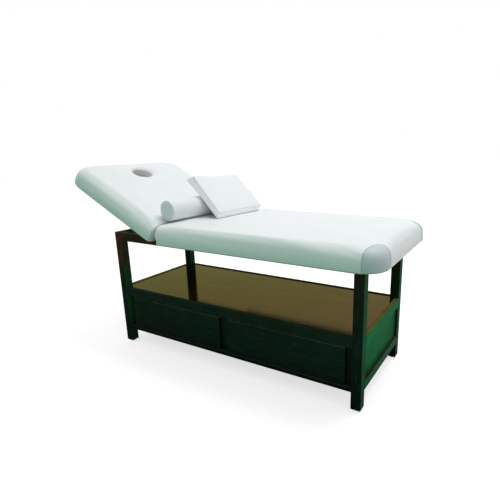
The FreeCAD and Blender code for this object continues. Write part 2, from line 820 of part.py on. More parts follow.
def pillow():
    """A flat pillow that leans on the bolster, with its lower edge on the main pad."""
    half = pillow_thickness / 2
    rim_half = half * pillow_rim_share
    rim = []
    for angle in pillow_rim_angles:
        turn = math.radians(angle)
        rim.append((rim_half * math.sin(turn), pillow_rim_reach * (1 - math.cos(turn))))
    crown = []
    for reach_share, rise_share in pillow_crown_share:
        crown.append((rim_half + rise_share * (half - rim_half),
                      pillow_rim_reach + reach_share * (pillow_crown_reach - pillow_rim_reach)))
    rows = [(-height, inset) for height, inset in reversed(crown)] + rim + crown
    slab = faceted([pillow_outline(height, inset) for height, inset in rows])
    lean = math.radians(pillow_tilt)
    slab.rotate(at(0, 0, 0), at(0, 1, 0), pillow_tilt)
    out = bolster_radius + soft_gap + half
    slab.translate(at(out * math.sin(lean), pillow_offset, bolster_radius + out * math.cos(lean)))
    slide = slab.BoundBox.ZMin / math.sin(lean)
    slab.translate(at(slide * math.cos(lean), 0, -slide * math.sin(lean)))
    slab.rotate(at(0, 0, 0), at(0, 0, 1), -loose_turn)
    centre = bolster_centre()
    slab.translate(at(centre.x, centre.y, pad_top + soft_gap))
    return slab


# The whole bed

def bed():
    parts = {}
    base_frame(parts)
    bearers(parts)
    cabinet(parts)
    drawers(parts)
    pads(parts)
    fittings(parts)
    parts["bolster"] = bolster()
    parts["pillow"] = pillow()
    return parts


def main():
    parts = bed()
    head_end = parts["backrest_cushion"].BoundBox.XMin
    foot_end = parts["main_cushion"].BoundBox.XMax
    shift = at(-(head_end + foot_end) / 2, 0, 0)
    os.makedirs("parts", exist_ok=True)
    for name, shape in parts.items():
        shape.translate(shift)
        shape.exportStep("parts/" + name + ".step")
    stud_place = spot(quadrant_radius, stud_angle, 0)
    print("nodes", len(parts), "shift", round(shift.x, 3))
    print("hinge line", round(fold_x + shift.x, 3), axis_height)
    print("studs", round(stud_place.x + shift.x, 3), round(stud_place.z, 3))
    print("solids not valid", [name for name, shape in parts.items() if not shape.isValid()])


main()
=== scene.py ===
"""Looks of the spa bed: lacquered wooden cabinet base, upholstered pads, loose bolster and pillow."""

import math

import bmesh
import bpy
from mathutils import Matrix, Vector, kdtree
from mathutils.bvhtree import BVHTree


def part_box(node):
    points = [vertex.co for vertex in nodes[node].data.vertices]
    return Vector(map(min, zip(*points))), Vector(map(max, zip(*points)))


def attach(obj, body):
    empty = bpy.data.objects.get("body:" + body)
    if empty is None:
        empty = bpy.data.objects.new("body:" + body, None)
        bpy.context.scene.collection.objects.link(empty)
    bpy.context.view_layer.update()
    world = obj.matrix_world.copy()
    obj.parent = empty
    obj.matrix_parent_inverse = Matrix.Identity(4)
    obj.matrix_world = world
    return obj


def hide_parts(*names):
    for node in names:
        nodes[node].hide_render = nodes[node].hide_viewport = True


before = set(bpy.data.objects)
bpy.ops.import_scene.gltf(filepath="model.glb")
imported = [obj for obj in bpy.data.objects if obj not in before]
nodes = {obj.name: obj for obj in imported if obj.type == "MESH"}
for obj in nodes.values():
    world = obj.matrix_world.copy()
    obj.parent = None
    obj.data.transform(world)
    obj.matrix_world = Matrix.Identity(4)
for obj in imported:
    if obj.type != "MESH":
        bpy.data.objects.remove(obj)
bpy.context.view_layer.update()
scene = bpy.context.scene

# Places and sizes taken over from the bed's drawing, in metres and radians
MM = 0.001
PAD_TOP = 0.780
PAD_BOTTOM = 0.668
BOARD_TOP = 0.708
RECESS_RIM = 0.004
HALF_PAD_WIDTH = 0.400
PAD_FOOT_END = 0.93022
HINGE = Vector((-0.26328, 0, 0.75))
BACKREST_TILT = math.radians(26.5)
BACKREST_MIDDLE = HINGE.x - 0.355
FACE_HOLE_MIDDLE = HINGE.x - 0.5485
FACE_HOLE_REACH = 0.100
LOOSE_TURN = math.radians(5.5)
SOFT_GAP = 0.3 * MM
BOLSTER_CENTRE = Vector((-0.21688, 0.021, 0.8383))
BOLSTER_RADIUS = 0.058
BOLSTER_HALF = 0.330


# Materials

def linear(colour):
    """An sRGB hex colour as linear red, green, blue and full alpha."""
    parts = [int(colour[i:i + 2], 16) / 255 for i in (1, 3, 5)]
    return tuple(c / 12.92 if c <= 0.04045 else ((c + 0.055) / 1.055) ** 2.4 for c in parts) + (1.0,)


def darker(colour, share):
    """The sRGB hex colour as linear values, at that share of its light."""
    return tuple(c * share for c in linear(colour)[:3]) + (1.0,)


def add(tree, kind, **settings):
    """Adds a shader node, sets its properties and inputs, and links an input that is given a node's output.

    An input is named as in the editor with _ for a space, or by its number as in_0. So a Map Range takes in_1
    and in_2 to in_3 and in_4, and a Mix goes from colour in_6 to colour in_7.
    """
    made = tree.nodes.new("ShaderNode" + kind)
    for key, value in settings.items():
        if hasattr(made, key):
            setattr(made, key, value)
            continue
        socket = made.inputs[int(key[3:]) if key.startswith("in_") else key.replace("_", " ")]
        if isinstance(value, bpy.types.NodeSocket):
            tree.links.new(value, socket)
        else:
            socket.default_value = value
    return made


def material(name, **shader_settings):
    """A new material with a Principled shader; returns it with its tree, shader and object coordinates."""
    made = bpy.data.materials.new(name)
    made.use_nodes = True
    tree = made.node_tree
    tree.nodes.clear()
    shader = add(tree, "BsdfPrincipled", **shader_settings)
    add(tree, "OutputMaterial", Surface=shader.outputs[0])
    place = add(tree, "TexCoord").outputs["Object"]
    return made, tree, shader, place


def coat(tree, shader, colour, relief, strength, depth):
    """Gives the shader its colour, and a bump from the relief, depth metres deep at full strength."""
    tree.links.new(colour, shader.inputs["Base Color"])
    bump = add(tree, "Bump", Height=relief, Strength=strength, Distance=depth)
    tree.links.new(bump.outputs[0], shader.inputs["Normal"])


def grain(tree, place, along, width, length, detail=4.0):
    """Noise drawn out along one axis, for wood grain of that width and length in metres."""
    scale = [1 / width] * 3
    scale[along] = 1 / length
    stretched = add(tree, "Mapping", Vector=place, Scale=scale).outputs[0]
    return add(tree, "TexNoise", Vector=stretched, Scale=1.0, Detail=detail, Roughness=0.55).outputs[0]


def facing(tree, axis, low, high):
    """1 where the surface faces along the axis (0 X, 1 Y, 2 Z) more than high, 0 below low."""
    normal = add(tree, "NewGeometry").outputs["Normal"]
    part = add(tree, "SeparateXYZ", Vector=normal).outputs[axis]
    return add(tree, "MapRange", Value=part, in_1=low, in_2=high).outputs[0]


def lacquered_beech(name, along, front, painted_light_foot_end, top):
    """Beech under bottle-green lacquer, brushed on and rubbed back: dark where it is thick, red-brown wood at
    the rubbed edges, a soft gloss that shows the grain, and painted light: clear green on faces towards the
    foot end and a lighter colour on faces upward."""
    made, tree, shader, place = material(name, Roughness=0.32, Specular_IOR_Level=0.002)
    # beech grain is 0.5 mm wide; drawn 3 mm wide so that it shows
    streaks = grain(tree, place, along, 3 * MM, 90 * MM)
    cloud = add(tree, "TexNoise", Vector=place, Scale=1 / (120 * MM), Detail=3.0).outputs[0]
    # painted light: faces towards the foot end take the clear green, and faces upward the lighter top colour
    end = facing(tree, 0, 0.35, 0.8)
    colour = add(tree, "Mix", data_type="RGBA", in_0=end,
                 in_6=linear(front), in_7=linear(painted_light_foot_end)).outputs[2]
    up = facing(tree, 2, 0.5, 0.9)
    colour = add(tree, "Mix", data_type="RGBA", in_0=up, in_6=colour, in_7=linear(top)).outputs[2]
    thick = add(tree, "MapRange", Value=cloud, in_1=0.35, in_2=0.7, in_4=0.35).outputs[0]
    colour = add(tree, "Mix", data_type="RGBA", in_0=thick, in_6=colour, in_7=linear("#0a1510")).outputs[2]
    ridge = add(tree, "MapRange", Value=streaks, in_1=0.5, in_2=0.75, in_4=0.3).outputs[0]
    colour = add(tree, "Mix", data_type="RGBA", in_0=ridge, in_6=colour, in_7=linear("#1c2616")).outputs[2]
    # red-brown in patches, most of all on the rails and posts under the pads at the head end: a painted
    # reflection in the gloss
    along_bed, _, height = add(tree, "SeparateXYZ", Vector=place).outputs
    upper = add(tree, "MapRange", Value=height, in_1=0.4, in_2=0.6, in_3=0.05).outputs[0]
    head = add(tree, "MapRange", Value=along_bed, in_1=-0.25, in_2=-0.4, in_3=0.15).outputs[0]
    upper = add(tree, "Math", in_0=upper, in_1=head, operation="MULTIPLY").outputs[0]
    patch = add(tree, "TexNoise", Vector=place, Scale=1 / (90 * MM), Detail=2.0).outputs[0]
    patch = add(tree, "MapRange", Value=patch, in_1=0.32, in_2=0.55, in_4=0.85).outputs[0]
    brown = add(tree, "Math", in_0=patch, in_1=upper, operation="MULTIPLY").outputs[0]
    colour = add(tree, "Mix", data_type="RGBA", in_0=brown, in_6=colour, in_7=linear("#4a2c22")).outputs[2]
    # darker towards the floor
    deep = add(tree, "MapRange", Value=height, in_1=0.3, in_2=0.06, in_4=0.55).outputs[0]
    colour = add(tree, "Mix", data_type="RGBA", in_0=deep, in_6=colour, in_7=linear("#04100c")).outputs[2]
    # edges rubbed through to red-brown over about 3 mm
    rounded = add(tree, "Bevel", samples=4, Radius=3 * MM).outputs[0]
    sharp = add(tree, "NewGeometry").outputs["Normal"]
    turn = add(tree, "VectorMath", in_0=rounded, in_1=sharp, operation="DOT_PRODUCT").outputs[1]
    edge = add(tree, "MapRange", Value=turn, in_1=0.99, in_2=0.86).outputs[0]
    rubbed = add(tree, "Math", in_0=edge, in_1=streaks, operation="MULTIPLY").outputs[0]
    colour = add(tree, "Mix", data_type="RGBA", in_0=rubbed, in_6=colour, in_7=linear("#4a2a20")).outputs[2]
    # brush marks: thin places in the top coat, a little lighter
    brushed = grain(tree, place, along, 9 * MM, 70 * MM, detail=6.0)
    thin = add(tree, "MapRange", Value=brushed, in_1=0.52, in_2=0.72, in_4=0.3).outputs[0]
    colour = add(tree, "Mix", data_type="RGBA", in_0=thin, in_6=colour, in_7=linear("#27452f")).outputs[2]
    coat(tree, shader, colour, streaks, 0.12, 0.3 * MM)
    return made


def shaded_cover(tree, place, colour, painted_bounce_tint):
    """The colour of a pad's cover: a painted green bounce on its long sides, and painted shade deeper towards
    the hem, at the hem's rim, on the ends, on the corner panels and along the seams.
    """
    normal = add(tree, "NewGeometry").outputs["Normal"]
    lengthwise, across, _ = add(tree, "SeparateXYZ", Vector=normal).outputs
    across = add(tree, "Math", in_0=across, operation="ABSOLUTE").outputs[0]
    side = add(tree, "MapRange", Value=across, in_1=0.3).outputs[0]
    # the painted green bounce is kept out of the fold and off the middle of the bed
    outward = add(tree, "SeparateXYZ", Vector=place).outputs[1]
    outward = add(tree, "Math", in_0=outward, operation="ABSOLUTE").outputs[0]
    outward = add(tree, "MapRange", Value=outward, in_1=0.2, in_2=0.3).outputs[0]
    side = add(tree, "Math", in_0=outward, in_1=side, operation="MULTIPLY").outputs[0]
    # painted reflection: the long sides mixed towards the tint, as green light bounced onto them
    colour = add(tree, "Mix", data_type="RGBA", in_0=side, in_6=colour, in_7=linear(painted_bounce_tint)).outputs[2]
    # painted shade: sides and panels deeper green towards the bottom, with green bounce
    low = add(tree, "Attribute", attribute_name="low").outputs["Fac"]
    panel = add(tree, "Attribute", attribute_name="panel").outputs["Fac"]
    shaded = add(tree, "Math", in_0=side, in_1=panel, operation="MAXIMUM").outputs[0]
    shaded = add(tree, "Math", in_0=low, in_1=shaded, operation="MULTIPLY").outputs[0]
    colour = add(tree, "Mix", data_type="RGBA", in_0=shaded, in_6=colour, in_7=linear("#a3d0bb")).outputs[2]
    # painted shade: a dark green rim along the very bottom edge
    hem = add(tree, "MapRange", Value=low, in_1=0.99, in_4=0.8).outputs[0]
    colour = add(tree, "Mix", data_type="RGBA", in_0=hem, in_6=colour, in_7=linear("#3c7a60")).outputs[2]
    # painted shade: faces towards the ends greyer
    end = add(tree, "MapRange", Value=lengthwise, in_1=0.4, in_2=0.9, in_4=0.6).outputs[0]
    colour = add(tree, "Mix", data_type="RGBA", in_0=end, in_6=colour, in_7=linear("#dbe3e2")).outputs[2]
    # painted shade: the corner panels and the backrest's end in the fold are dimmed
    colour = add(tree, "Mix", data_type="RGBA", blend_type="MULTIPLY", in_0=panel, in_6=colour,
                 in_7=linear("#d9e1e4")).outputs[2]
    # painted shade in the seams' folds: grey-green near the sewn lines
    seam = add(tree, "Attribute", attribute_name="seam").outputs["Fac"]
    return add(tree, "Mix", data_type="RGBA", in_0=seam, in_6=colour, in_7=linear("#7d9088")).outputs[2]


def white_leatherette(name, painted_bounce_tint=None):
    """PVC-coated fabric: a soft white skin with a fine pressed grain. With a tint it gets a pad's painted
    bounce and painted shade, and without one its panel is a side band painted lighter as painted light."""
    made, tree, shader, place = material(name, Roughness=0.48, Specular_IOR_Level=0.2)
    # the pressed grain is 1 mm; drawn at 2.2 mm so that it shows
    pebble = add(tree, "TexVoronoi", Vector=place, Scale=1 / (2.2 * MM)).outputs["Distance"]
    cloud = add(tree, "TexNoise", Vector=place, Scale=1 / (160 * MM), Detail=4.0).outputs[0]
    soft = add(tree, "MapRange", Value=cloud, in_1=0.3, in_2=0.7).outputs[0]
    colour = add(tree, "Mix", data_type="RGBA", in_0=soft,
                 in_6=linear("#eef3f5"), in_7=linear("#e9eff0")).outputs[2]
    if painted_bounce_tint:
        colour = shaded_cover(tree, place, colour, painted_bounce_tint)
    else:
        # painted light: the pillow's side band lighter than its faces
        band = add(tree, "Attribute", attribute_name="panel").outputs["Fac"]
        colour = add(tree, "Mix", data_type="RGBA", in_0=band, in_6=colour, in_7=linear("#fdfeff")).outputs[2]
    coat(tree, shader, colour, pebble, 0.25, 0.25 * MM)
    return made


# For each kind of rail and front the way of its grain, and its colours in front, at the foot end and on top;
# the foot-end and top colours are painted light
LACQUER_ALONG_X = lacquered_beech("bottle_green_lacquer_on_beech_long", 0, "#132b1e", "#0f7642", "#2e3a22")
LACQUER_ALONG_Y = lacquered_beech("bottle_green_lacquer_on_beech_short", 1, "#132b1e", "#007a40", "#9a8d4c")
LACQUER_ALONG_Z = lacquered_beech("bottle_green_lacquer_on_beech_upright", 2, "#10241b", "#0d5a34", "#2e3a22")
# the drawer fronts' pale grey-green top edges are painted light
LACQUER_ON_DRAWERS = lacquered_beech("bottle_green_lacquer_on_drawer_fronts", 0,
                                     "#132b1e", "#0b1a13", "#7d8f86")
LACQUER_BELOW = lacquered_beech("bottle_green_lacquer_darker_near_floor", 0,
                                "#0a1411", "#0b1a13", "#3a4a42")
# the low end rail's brown top is partly its reddish wood and partly painted light on the ledge
LACQUER_LOW_END = lacquered_beech("bottle_green_lacquer_on_low_end_rail", 1, "#132b1e", "#007a40", "#5c463a")


def shelf_varnish():
    """Dark varnish with a bronze tint, rubbed to a mirror: nearly black from above, and olive where it
    mirrors the room at a low angle."""
    made, tree, shader, place = material("bronze_tinted_varnish_on_shelf", Metallic=0.85)
    # the board's grain is 1 mm wide; drawn 5 mm wide so that it shows
    streaks = grain(tree, place, 0, 5 * MM, 260 * MM)
    figure = add(tree, "MapRange", Value=streaks, in_1=0.3, in_2=0.7).outputs[0]
    colour = add(tree, "Mix", data_type="RGBA", in_0=figure,
                 in_6=linear("#4a4129"), in_7=linear("#5c523a")).outputs[2]
    # greener to the head end and browner to the foot end, in soft patches
    length = add(tree, "SeparateXYZ", Vector=place).outputs[0]
    length = add(tree, "MapRange", Value=length, in_1=-0.6, in_2=0.7, in_3=-0.35, in_4=0.35).outputs[0]
    patch = grain(tree, place, 0, 45 * MM, 110 * MM, detail=6.0)
    patch = add(tree, "Math", in_0=patch, in_1=length, operation="ADD").outputs[0]
    patch = add(tree, "MapRange", Value=patch).outputs[0]
    colour = add(tree, "Mix", data_type="RGBA", in_0=patch, in_6=colour, in_7=linear("#5a4a36")).outputs[2]
    # what the varnish makes of white light: green-bronze, brown-bronze, and dull in the clouds
    green, brown, dull = (0.55, 0.57, 0.37, 1.0), (0.76, 0.68, 0.49, 1.0), (0.42, 0.44, 0.30, 1.0)
    tint = add(tree, "Mix", data_type="RGBA", in_0=patch, in_6=green, in_7=brown).outputs[2]
    cloud = add(tree, "TexNoise", Vector=place, Scale=1 / (30 * MM), Detail=8.0, Roughness=0.7).outputs[0]
    tint = add(tree, "Mix", data_type="RGBA", in_0=cloud, in_6=tint, in_7=dull).outputs[2]
    cloudy = add(tree, "MapRange", Value=patch, in_3=0.06, in_4=0.14).outputs[0]
    tree.links.new(tint, shader.inputs["Specular Tint"])
    tree.links.new(cloudy, shader.inputs["Roughness"])
    coat(tree, shader, colour, streaks, 0.05, 0.2 * MM)
    return made


SHELF = shelf_varnish()
# the side tints are painted green bounce light
LEATHERETTE = white_leatherette("white_pvc_leatherette_on_pads", "#c6e4d9")
BOLSTER_LEATHERETTE = white_leatherette("white_pvc_leatherette_on_bolster", "#c8e2de")
PILLOW_LEATHERETTE = white_leatherette("white_pvc_leatherette_on_pillow")


def thread(name, colour):
    """Spun polyester thread and the fold of the seam: matt, with fine turns across."""
    made, tree, shader, place = material(name, Roughness=0.75)
    # turns 0.8 mm apart; drawn at 2 mm so that they show
    turns = add(tree, "TexNoise", Vector=place, Scale=1 / (2 * MM), Detail=2.0).outputs[0]
    shade = add(tree, "Mix", data_type="RGBA", in_0=turns,
                in_6=linear(colour), in_7=darker(colour, 0.8)).outputs[2]
    tree.links.new(shade, shader.inputs["Base Color"])
    return made


# the grey-green cord is the thread, and its dark colour is partly painted shade of the seam's fold
SEAM = thread("grey_green_seam_thread_and_painted_fold_shade", "#8b9d97")
PIPING = thread("white_welt_seam", "#dfe6e6")


def bare_wood(name, light, dark, along, **settings):
    """Bare wood with growth rings drawn out along one axis, short pores, and a slight relief."""
    made, tree, shader, place = material(name, **settings)
    # rings are 2 mm apart and pores 0.3 mm wide; drawn at 4 mm and 1.5 mm so that they show
    rings = grain(tree, place, along, 4 * MM, 140 * MM)
    pores = grain(tree, place, along, 1.5 * MM, 18 * MM, detail=2.0)
    ring = add(tree, "MapRange", Value=rings, in_1=0.35, in_2=0.65).outputs[0]
    colour = add(tree, "Mix", data_type="RGBA", in_0=ring, in_6=linear(light), in_7=linear(dark)).outputs[2]
    pore = add(tree, "MapRange", Value=pores, in_1=0.6, in_2=0.75, in_4=0.5).outputs[0]
    colour = add(tree, "Mix", data_type="RGBA", in_0=pore, in_6=colour, in_7=darker(dark, 0.5)).outputs[2]
    coat(tree, shader, colour, rings, 0.2, 0.2 * MM)
    return made


def birch_plywood(name, tilt):
    """Birch plywood: pale faces with a loose figure, and edges striped by the glued plies."""
    made, tree, shader, place = material(name, Roughness=0.6)
    level = add(tree, "Mapping", Vector=place, Rotation=(0, tilt, 0)).outputs[0]
    height = add(tree, "SeparateXYZ", Vector=level).outputs[2]
    # plies are 1.4 mm thick; drawn 3 mm thick so that they show
    ply = add(tree, "Math", in_0=height, operation="MULTIPLY", in_1=math.pi / (3 * MM)).outputs[0]
    ply = add(tree, "Math", in_0=ply, operation="SINE").outputs[0]
    ply = add(tree, "MapRange", Value=ply, in_1=-0.3, in_2=0.3).outputs[0]
    figure = grain(tree, place, 0, 12 * MM, 160 * MM)
    face = add(tree, "Mix", data_type="RGBA", in_0=figure,
               in_6=linear("#d8bd8f"), in_7=linear("#bd9a68")).outputs[2]
    colour = add(tree, "Mix", data_type="RGBA", in_0=ply, in_6=face, in_7=linear("#8f6a43")).outputs[2]
    coat(tree, shader, colour, figure, 0.15, 0.3 * MM)
    return made


def zinc_plated(name):
    """Zinc-plated steel: bright, with a faint yellow-blue cast and fine rolling lines."""
    made, tree, shader, place = material(name, Metallic=1.0)
    lines = grain(tree, place, 0, 1.5 * MM, 30 * MM, detail=3.0)
    cast = add(tree, "TexNoise", Vector=place, Scale=1 / (14 * MM), Detail=3.0).outputs[0]
    colour = add(tree, "Mix", data_type="RGBA", in_0=cast,
                 in_6=linear("#c2c6c9"), in_7=linear("#b5b39f")).outputs[2]
    gloss = add(tree, "MapRange", Value=lines, in_1=0.3, in_2=0.7, in_3=0.24, in_4=0.4).outputs[0]
    tree.links.new(gloss, shader.inputs["Roughness"])
    coat(tree, shader, colour, lines, 0.08, 0.1 * MM)
    return made


def moulded(name, colour, worn, spot, gloss):
    """A moulded plastic: even colour with a spark-eroded grain and paler scuffs."""
    made, tree, shader, place = material(name)
    # the mould's grain is 0.3 mm; drawn at 1 mm so that it shows
    pits = add(tree, "TexNoise", Vector=place, Scale=1 / (1 * MM), Detail=2.0).outputs[0]
    scuff = add(tree, "TexNoise", Vector=place, Scale=1 / spot, Detail=6.0, Roughness=0.7).outputs[0]
    scuff = add(tree, "MapRange", Value=scuff, in_1=0.55, in_2=0.75, in_4=0.6).outputs[0]
    shade = add(tree, "Mix", data_type="RGBA", in_0=scuff, in_6=linear(colour), in_7=linear(worn)).outputs[2]
    rough = add(tree, "MapRange", Value=scuff, in_3=gloss, in_4=gloss + 0.2).outputs[0]
    tree.links.new(rough, shader.inputs["Roughness"])
    coat(tree, shader, shade, pits, 0.15, 0.1 * MM)
    return made


BEECH = [bare_wood("sealed_beech_along_" + axis, "#c79f6e", "#ad8252", index, Roughness=0.5)
         for index, axis in enumerate("xyz")]
STAINED = bare_wood("dark_stained_plywood_inside", "#1e261c", "#151c15", 0,
                    Roughness=0.6, Specular_IOR_Level=0.1)
PLYWOOD = birch_plywood("birch_plywood_level", 0)
PLYWOOD_TILTED = birch_plywood("birch_plywood_raised", -BACKREST_TILT)
ZINC = zinc_plated("zinc_plated_steel")
KNOB = moulded("black_glass_filled_nylon", "#141517", "#3a3b3d", 9 * MM, 0.42)
GLIDE = moulded("grey_polythene", "#3a3c3d", "#6a6b6a", 5 * MM, 0.5)

FINISH = {
    "plywood": PLYWOOD, "zinc_steel": ZINC, "knob_plastic": KNOB, "glide_plastic": GLIDE,
    "white_leatherette": LEATHERETTE, "shelf_lacquer": SHELF, "foot_panel_lacquer": LACQUER_ALONG_Y,
}
FINISH_BY_NODE = {
    "backrest_board": PLYWOOD_TILTED, "bottom_rail_front": LACQUER_BELOW, "bottom_rail_foot": LACQUER_LOW_END,
}


def finish_nodes():
    """Gives every solid its finish: wood with the grain along its longest side, the rest by its slot."""
    for name, piece in nodes.items():
        low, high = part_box(name)
        size = high - low
        along = max(range(3), key=lambda axis: size[axis])
        for slot in piece.material_slots:
            key = slot.material.name.split(".")[0]
            if name in FINISH_BY_NODE:
                slot.material = FINISH_BY_NODE[name]
            elif key == "cabinet_wood":
                slot.material = BEECH[along] if name.startswith("drawer") else STAINED
            elif key == "green_lacquer" and name.startswith(("drawer", "front_stile")):
                slot.material = LACQUER_ON_DRAWERS
            else:
                slot.material = FINISH.get(key) or (LACQUER_ALONG_X, LACQUER_ALONG_Y, LACQUER_ALONG_Z)[along]


finish_nodes()


# Padded pieces

STUFFING_PRESSURE = 6.0
CLOTH_FRAMES = 20


def new_object(name, data):
    """An object of that name in the scene, with its mesh, curve, lamp or camera."""
    made = bpy.data.objects.new(name, data)
    scene.collection.objects.link(made)
    return made


def smooth(value, low, high):
    """0 below low, 1 above high, and a soft step between them."""
    t = min(1.0, max(0.0, (value - low) / (high - low)))
    return t * t * (3 - 2 * t)


def solid_copy(node_name, turn):
    """A merged copy of a node's mesh as a bmesh, moved by the matrix."""
    shape = bmesh.new()
    shape.from_mesh(nodes[node_name].data)
    bmesh.ops.remove_doubles(shape, verts=shape.verts, dist=0.01 * MM)
    bmesh.ops.recalc_face_normals(shape, faces=shape.faces)
    bmesh.ops.transform(shape, matrix=turn, verts=shape.verts)
    return shape


def applied(piece):
    """The piece's mesh with its modifiers applied, which are then removed."""
    graph = bpy.context.evaluated_depsgraph_get()
    mesh = bpy.data.meshes.new_from_object(piece.evaluated_get(graph))
    piece.modifiers.clear()
    old, piece.data = piece.data, mesh
    bpy.data.meshes.remove(old)


def line_finder(lines):
    """A function that gives the distance from a point to the nearest of the lines, or None without lines."""
    points = [a.lerp(b, i / 8) for line in lines for a, b in zip(line, line[1:]) for i in range(8)]
    if not points:
        return None
    tree = kdtree.KDTree(len(points))
    for index, point in enumerate(points):
        tree.insert(point, index)
    tree.balance()
    return lambda place: tree.find(place)[2]


def even_mesh(name, shape, voxel):
    """The bmesh as an object, remeshed into even faces of the voxel's size."""
    mesh = bpy.data.meshes.new(name)
    shape.to_mesh(mesh)
    shape.free()
    piece = new_object(name, mesh)
    remesh = piece.modifiers.new("even_faces", "REMESH")
    remesh.mode = "VOXEL"
    remesh.voxel_size = voxel
    applied(piece)
    return piece


def eased(shape, fixed, times):
    """Smooths the vertices of the bmesh that aren't fixed, that many times."""
    free = [vert for vert, pin in zip(shape.verts, fixed) if pin < 0.5]
    for _ in range(times):
        bmesh.ops.smooth_vert(shape, verts=free, factor=0.5,
                              use_axis_x=True, use_axis_y=True, use_axis_z=True)


def blown_out(piece, fixed):
    """Blows the cover out as cloth, held by its vertex group, and eases its folds, as over firm foam."""
    cloth = piece.modifiers.new("stuffing", "CLOTH")
    settings = cloth.settings
    settings.quality = 5
    settings.use_pressure = True
    settings.uniform_pressure_force = STUFFING_PRESSURE
    settings.effector_weights.gravity = 0
    settings.vertex_group_mass = "held"
    cloth.collision_settings.use_collision = False
    for step in range(1, CLOTH_FRAMES + 1):
        scene.frame_set(step)
    applied(piece)
    scene.frame_set(1)
    shape = bmesh.new()
    shape.from_mesh(piece.data)
    eased(shape, fixed, 3)
    shape.to_mesh(piece.data)
    shape.free()


def capped(mesh, start, full, normals, slack):
    """Keeps the swell from the start within twice the slack, and inside the surface before taking in."""
    for vert, before, normal, limit in zip(mesh.vertices, start, normals, full):
        move = vert.co - before
        if move.length > 2 * slack:
            move *= 2 * slack / move.length
        rest = before + move
        over = (rest - limit).dot(normal)
        if over > 0:
            rest -= normal * over
        vert.co = rest


def marked(mesh, seams, hem, panel):
    """Stores for the material how near each vertex is to a seam and the hem, and whether a panel holds it."""
    seam = mesh.attributes.new("seam", "FLOAT", "POINT")
    low = mesh.attributes.new("low", "FLOAT", "POINT")
    inside = mesh.attributes.new("panel", "FLOAT", "POINT")
    for vert, near, down, cut in zip(mesh.vertices, seam.data, low.data, inside.data):
        near.value = 0.7 * (1 - smooth(seams(vert.co), 0.5 * MM, 7 * MM)) if seams else 0.0
        down.value = 1 - smooth(vert.co.z, PAD_BOTTOM + 6 * MM, PAD_BOTTOM + 75 * MM) if hem else 0.0
        cut.value = 1.0 if panel and panel(vert.co) else 0.0


def upholster(name, shape, turn, voxel, slack, held, sewn=(), skin=LEATHERETTE, hem=False, panel=None):
    """A stuffed piece grown from its shape: remeshed, taken in by the slack, then blown out as cloth.

    The shape is moved by the matrix turn from where the bed carries it, and goes back at the end.
    held(point, normal) is 1 where the cover is fixed and 0 where it is free. The cover stays in along the
    sewn lines and puffs up beside them.
    """
    piece = even_mesh(name, shape, voxel)
    shape = bmesh.new()
    shape.from_mesh(piece.data)
    fixed = [held(vert.co, vert.normal) for vert in shape.verts]
    eased(shape, fixed, 2)
    shape.normal_update()
    full = [vert.co.copy() for vert in shape.verts]
    normals = [vert.normal.copy() for vert in shape.verts]
    for vert, pin, normal in zip(shape.verts, fixed, normals):
        vert.co -= normal * slack * (1 - pin)
    shape.to_mesh(piece.data)
    shape.free()
    seams = line_finder(sewn)
    pins = piece.vertex_groups.new(name="held")
    for vert, pin in zip(piece.data.vertices, fixed):
        near = seams(full[vert.index]) if seams else 1.0
        stay = max(pin, 0.97 * (1 - smooth(near, 0.3 * voxel, 1.3 * voxel)))
        if stay > 0:
            pins.add([vert.index], stay, "REPLACE")
    start = [vert.co.copy() for vert in piece.data.vertices]
    blown_out(piece, fixed)
    capped(piece.data, start, full, normals, slack)
    finer = piece.modifiers.new("finer", "SUBSURF")
    finer.levels = finer.render_levels = 1
    applied(piece)
    marked(piece.data, seams, hem, panel)
    piece.data.transform(turn.inverted())
    for face in piece.data.polygons:
        face.use_smooth = True
    piece.data.materials.clear()
    piece.data.materials.append(skin)
    return piece


def sewn_line(name, cover, line, thick, body, finish):
    """A seam's thread and fold as a thin cord, laid along the line on the cover and half sunk in it."""
    surface = BVHTree.FromObject(cover, bpy.context.evaluated_depsgraph_get())
    points = []
    for a, b in zip(line, line[1:]):
        for i in range(3):
            place, normal = surface.find_nearest(a.lerp(b, i / 3))[:2]
            points.append(place - normal * 0.25 * thick)
    curve = bpy.data.curves.new(name, "CURVE")
    curve.dimensions = "3D"
    curve.bevel_depth = thick / 2
    curve.bevel_resolution = 2
    curve.use_fill_caps = True
    spline = curve.splines.new("POLY")
    spline.points.add(len(points) - 1)
    for point, place in zip(spline.points, points):
        point.co = (*place, 1)
    spline.use_cyclic_u = (line[0] - line[-1]).length < MM
    cord = new_object(name, curve)
    graph = bpy.context.evaluated_depsgraph_get()
    mesh = bpy.data.meshes.new_from_object(cord.evaluated_get(graph))
    bpy.data.objects.remove(cord)
    bpy.data.curves.remove(curve)
    mesh.materials.clear()
    mesh.materials.append(finish)
    for face in mesh.polygons:
        face.use_smooth = True
    made = new_object(name, mesh)
    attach(made, body)
    return made


def board_side(point, normal, centre):
    """1 inside the recess for the board and under the hem, 0 on the cover."""
    above_board = point.z > BOARD_TOP + RECESS_RIM
    if normal.z < -0.35 and not above_board:
        return 1.0
    if above_board:
        return 0.0
    inward = (centre - point.x) * normal.x - point.y * normal.y
    return 1.0 if inward > 0 and normal.z < 0.6 else 0.0


def rounded_line(points, times=2):
    """The line with its corners cut off that many times, so that it bends softly."""
    for _ in range(times):
        cut = [points[0]]
        for a, b in zip(points, points[1:]):
            cut += [a.lerp(b, 0.25), a.lerp(b, 0.75)]
        points = cut + [points[-1]]
    return points


